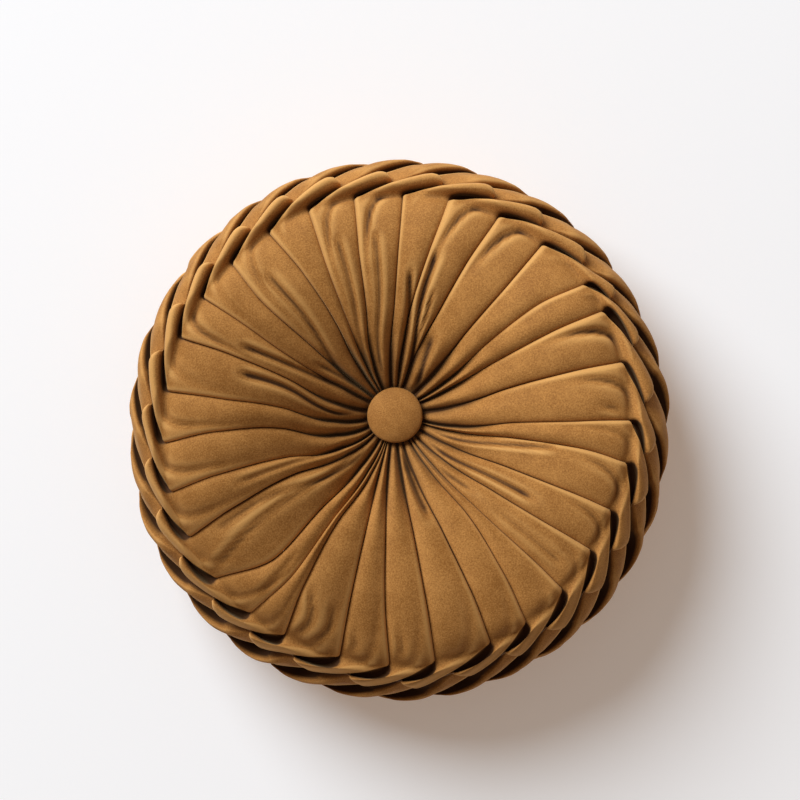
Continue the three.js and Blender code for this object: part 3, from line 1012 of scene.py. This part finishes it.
def fold_group():
    """Paints shade into the cloth's colour in a crease, and paints a highlight into it on the edge of a
    fold.
    """
    if "Fold painted shade and highlight" in bpy.data.node_groups:
        return bpy.data.node_groups["Fold painted shade and highlight"]
    tree, start, end = node_group(
        "Fold painted shade and highlight",
        (("Colour", "NodeSocketColor", (0.4, 0.2, 0.05, 1)),
         ("Fold", "NodeSocketFloat", 0.0),
         ("Painted Shade Colour", "NodeSocketColor", (0.1, 0.03, 0.01, 1)),
         ("Painted Highlight Colour", "NodeSocketColor", (0.6, 0.3, 0.1, 1)),
         ("Crease Depth", "NodeSocketFloat", 1.0),
         ("Edge Height", "NodeSocketFloat", 1.0)),
        (("Colour", "NodeSocketColor"),))
    fold = start.outputs["Fold"]
    down = calculated(tree, "DIVIDE", fold, start.outputs["Crease Depth"])
    up = calculated(tree, "DIVIDE", fold, start.outputs["Edge Height"])
    high = remap(tree, up, *EDGE_RANGE, to_high=EDGE_STRENGTH)
    deep = remap(tree, down, *CREASE_RANGE, to_high=CREASE_STRENGTH)
    # The edge colour is a painted highlight, and the crease colour painted shade
    lighter = mixed(tree, high, start.outputs["Colour"], start.outputs["Painted Highlight Colour"])
    darker = mixed(tree, deep, lighter, start.outputs["Painted Shade Colour"])
    fill(tree, end, {"Colour": darker})
    return tree


def velvet(name, finish, patch_scale, crease_depth, edge_height, lean):
    """Short-pile velvet with its nap, with painted shade in its creases and painted highlights on its fold
    edges.
    """
    material = bpy.data.materials.new(name)
    material.use_nodes = True
    tree = material.node_tree
    place = tree.nodes.new("ShaderNodeTexCoord").outputs["Object"]
    nap = add(tree, "ShaderNodeGroup", {
        "Place": place,
        "Colour": tuple(finish.colour),
        "Ruffled Colour": tuple(finish.ruffled),
        "Patch Scale": patch_scale,
    }, node_tree=nap_group())
    # This group paints shade into the creases and highlights onto the fold edges
    painted_shade_and_highlight = add(tree, "ShaderNodeGroup", {
        "Colour": nap.outputs["Colour"],
        "Fold": add(tree, "ShaderNodeAttribute", {}, attribute_name="fold").outputs["Fac"],
        "Painted Shade Colour": tuple(finish.crease),
        "Painted Highlight Colour": tuple(finish.edge),
        "Crease Depth": crease_depth,
        "Edge Height": edge_height,
    }, node_tree=fold_group())
    leaning = add(tree, "ShaderNodeGroup", {"Place": place, "Lean": lean}, node_tree=lean_group())
    bump = add(tree, "ShaderNodeBump", {
        "Strength": GRAIN_STRENGTH,
        "Distance": GRAIN_HEIGHT * MM,
        "Height": nap.outputs["Height"],
        "Normal": leaning.outputs["Normal"],
    })
    fill(tree, tree.nodes["Principled BSDF"], {
        "Base Color": painted_shade_and_highlight.outputs["Colour"],
        "Roughness": nap.outputs["Roughness"],
        "Specular IOR Level": 0.22,
        "Sheen Weight": 0.3,
        "Sheen Roughness": 0.38,
        "Sheen Tint": (1.0, 0.66, 0.32, 1.0),
        "Normal": bump.outputs["Normal"],
    })
    return material


def button_line():
    """Half the section of a button, from beside the top of its dome down to its underside."""
    radius = BUTTON_DIAMETER / 2
    edge = BUTTON_THICKNESS * BUTTON_EDGE
    turn = np.linspace(-math.pi / 2, math.pi / 6, 11)
    rim = [(radius - edge + edge * math.cos(a), edge + edge * math.sin(a)) for a in turn]
    t = np.linspace(0, 1, 15)[1:-1]
    start_radius, start_height = rim[-1]
    bend_radius = radius * BUTTON_DOME
    dome_radius = (1 - t) ** 2 * start_radius + 2 * t * (1 - t) * bend_radius
    dome_height = (1 - t) ** 2 * start_height + (2 * t * (1 - t) + t ** 2) * BUTTON_THICKNESS
    return np.array([*rim, *zip(dome_radius, dome_height)])[::-1]


def button_points():
    """The points of an upright button round its own middle, the last two at its ends, and its faces."""
    line = button_line()
    radius = line[:, 0][:, None]
    height = line[:, 1][:, None]
    angle = np.linspace(0, 2 * math.pi, BUTTON_SIDES, endpoint=False)
    puckers = smooth_step(PUCKERED_TO - height, 0, PUCKERED_TO) * np.sin(PUCKERS * angle)[None, :]
    waves = smooth_step(radius, *WAVE_RISES) * np.sin(BUTTON_WAVES * angle + 1)[None, :]
    reach = radius + PUCKER_DEPTH * puckers + WAVE_DEPTH * waves
    points = np.stack([reach * np.sin(angle), reach * np.cos(angle), height + 0 * reach], -1)
    ends = np.array([(0, 0, BUTTON_THICKNESS), (0, 0, 0)])
    return np.concatenate([points.reshape(-1, 3), ends]), ring_faces(len(line), BUTTON_SIDES)


def covered_button(name, cloth, up):
    """A covered button on the seat of the face or, turned over, on that of the back."""
    points, faces = button_points()
    points[:, :2] += np.array(BUTTON_OFFSET)
    points[:, 2] += SEAT_HEIGHT + PIECE_GAP
    if not up:
        points[:, 0] *= -1
        points[:, 2] = 2 * MID_HEIGHT - points[:, 2]
    piece = mesh_piece(name, points, faces, np.zeros(len(points)))
    piece.data.materials.append(cloth)
    return piece


def settle(piece, node):
    """The piece rides on the cushion's body and stands for its solid, with its finish."""
    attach(piece, BODY)
    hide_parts(node)


class CUSHION_OT_make_cover(bpy.types.Operator):
    """Make the pleated and smocked velvet cushion"""
    bl_idname = "cushion.make_cover"
    bl_label = "Make the cushion"

    def execute(self, context):
        rings, shade = cover_rings(context.scene.cushion_sizes)
        # The fold value also carries the painted shade and light that colour the cloth
        fold = fold_measure(rings, shade)
        ends = [rings[0].mean(0), rings[-1].mean(0)]
        points = np.concatenate([rings.reshape(-1, 3), ends])
        faces = ring_faces(rings.shape[0], rings.shape[1])
        values = np.append(fold.ravel(), (0.0, 0.0))
        piece = mesh_piece("velvet_cushion", points, faces, values)
        cloth = velvet("velvet_cover", context.scene.velvet_finish, patch_scale=60.0,
                       crease_depth=0.85, edge_height=0.8, lean=0.32)
        piece.data.materials.append(cloth)
        settle(piece, "cushion")
        return {"FINISHED"}


class CUSHION_OT_make_buttons(bpy.types.Operator):
    """Make the covered buttons of the face and the back"""
    bl_idname = "cushion.make_buttons"
    bl_label = "Make the covered buttons"

    def execute(self, context):
        cloth = velvet("velvet_button", context.scene.velvet_finish, patch_scale=90.0,
                       crease_depth=1.0, edge_height=1.0, lean=0.0)
        for node, up in (("button_top", True), ("button_back", False)):
            piece = covered_button("covered_" + node, cloth, up)
            settle(piece, node)
        return {"FINISHED"}


def pale_floor():
    """A wide pale floor just under the cushion, which glows faintly: painted fill light that lifts the
    shadow on it.
    """
    corners = [(-1, -1, 0), (1, -1, 0), (1, 1, 0), (-1, 1, 0)]
    floor = mesh_piece("floor", FLOOR_HALF * np.array(corners), [(0, 1, 2, 3)])
    floor.location.z = -FLOOR_DROP * MM
    material = bpy.data.materials.new("pale_floor")
    material.use_nodes = True
    tree = material.node_tree
    fill(tree, tree.nodes["Principled BSDF"], {
        "Base Color": (0.855, 0.875, 0.912, 1.0),
        "Roughness": 0.75,
        # A faint warm glow: painted fill light that lifts the cushion's shadow on the floor
        "Emission Color": (1.0, 0.74, 0.55, 1.0),
        "Emission Strength": 0.19,
    })
    floor.data.materials.append(material)


def soft_light(name, azimuth, elevation, distance, size, power, colour):
    """An area light that shines at the cushion from a compass angle and a height above the floor."""
    a, e = math.radians(azimuth), math.radians(elevation)
    way = Vector((math.sin(a) * math.cos(e), math.cos(a) * math.cos(e), math.sin(e)))
    data = bpy.data.lights.new(name, "AREA")
    data.shape = "DISK"
    data.size = size
    data.energy = power
    data.color = colour
    light = bpy.data.objects.new(name, data)
    light.location = way * distance
    light.rotation_mode = "QUATERNION"
    light.rotation_quaternion = way.to_track_quat("Z", "Y")
    bpy.context.scene.collection.objects.link(light)


class CUSHION_OT_make_stage(bpy.types.Operator):
    """Make the pale floor, the soft light and the camera that looks straight down"""
    bl_idname = "cushion.make_stage"
    bl_label = "Make the stage"

    def execute(self, context):
        scene = context.scene
        pale_floor()
        soft_light("window", azimuth=319, elevation=34, distance=9.0, size=6.4, power=1150.0,
                   colour=(0.87, 0.95, 1.0))
        world = bpy.data.worlds.new("soft_sky")
        world.use_nodes = True
        tree = world.node_tree
        fill(tree, tree.nodes["Background"], {"Color": (1.0, 0.87, 0.78, 1.0), "Strength": 0.22})
        scene.world = world
        scene.view_settings.view_transform = "Standard"
        lens = bpy.data.cameras.new("camera")
        lens.type = "PERSP"
        lens.sensor_width = 36.0
        distance = CAMERA_HEIGHT - MID_HEIGHT * MM
        lens.lens = lens.sensor_width * distance / PHOTO_WIDTH
        camera = bpy.data.objects.new("camera", lens)
        camera.location = (*VIEW_MIDDLE, CAMERA_HEIGHT)
        scene.collection.objects.link(camera)
        scene.camera = camera
        return {"FINISHED"}


class CUSHION_PT_parts(bpy.types.Panel):
    """Lists what makes the cushion"""
    bl_label = "Round ruffled cushion"
    bl_space_type = "VIEW_3D"
    bl_region_type = "UI"
    bl_category = "Cushion"

    def draw(self, context):
        layout = self.layout
        for group in (context.scene.cushion_sizes, context.scene.velvet_finish):
            for name in group.bl_rna.properties.keys():
                if name not in ("rna_type", "name"):
                    layout.prop(group, name)
        for operator in OPERATORS:
            layout.operator(operator.bl_idname)


OPERATORS = (CUSHION_OT_make_cover, CUSHION_OT_make_buttons, CUSHION_OT_make_stage)
CLASSES = (CushionSizes, VelvetFinish, *OPERATORS, CUSHION_PT_parts)


def register():
    for cls in CLASSES:
        bpy.utils.register_class(cls)
    bpy.types.Scene.cushion_sizes = bpy.props.PointerProperty(type=CushionSizes)
    bpy.types.Scene.velvet_finish = bpy.props.PointerProperty(type=VelvetFinish)


def unregister():
    del bpy.types.Scene.velvet_finish
    del bpy.types.Scene.cushion_sizes
    for cls in reversed(CLASSES):
        bpy.utils.unregister_class(cls)


def main():
    register()
    bpy.ops.cushion.make_cover()
    bpy.ops.cushion.make_buttons()
    bpy.ops.cushion.make_stage()


if __name__ == "__main__":
    main()
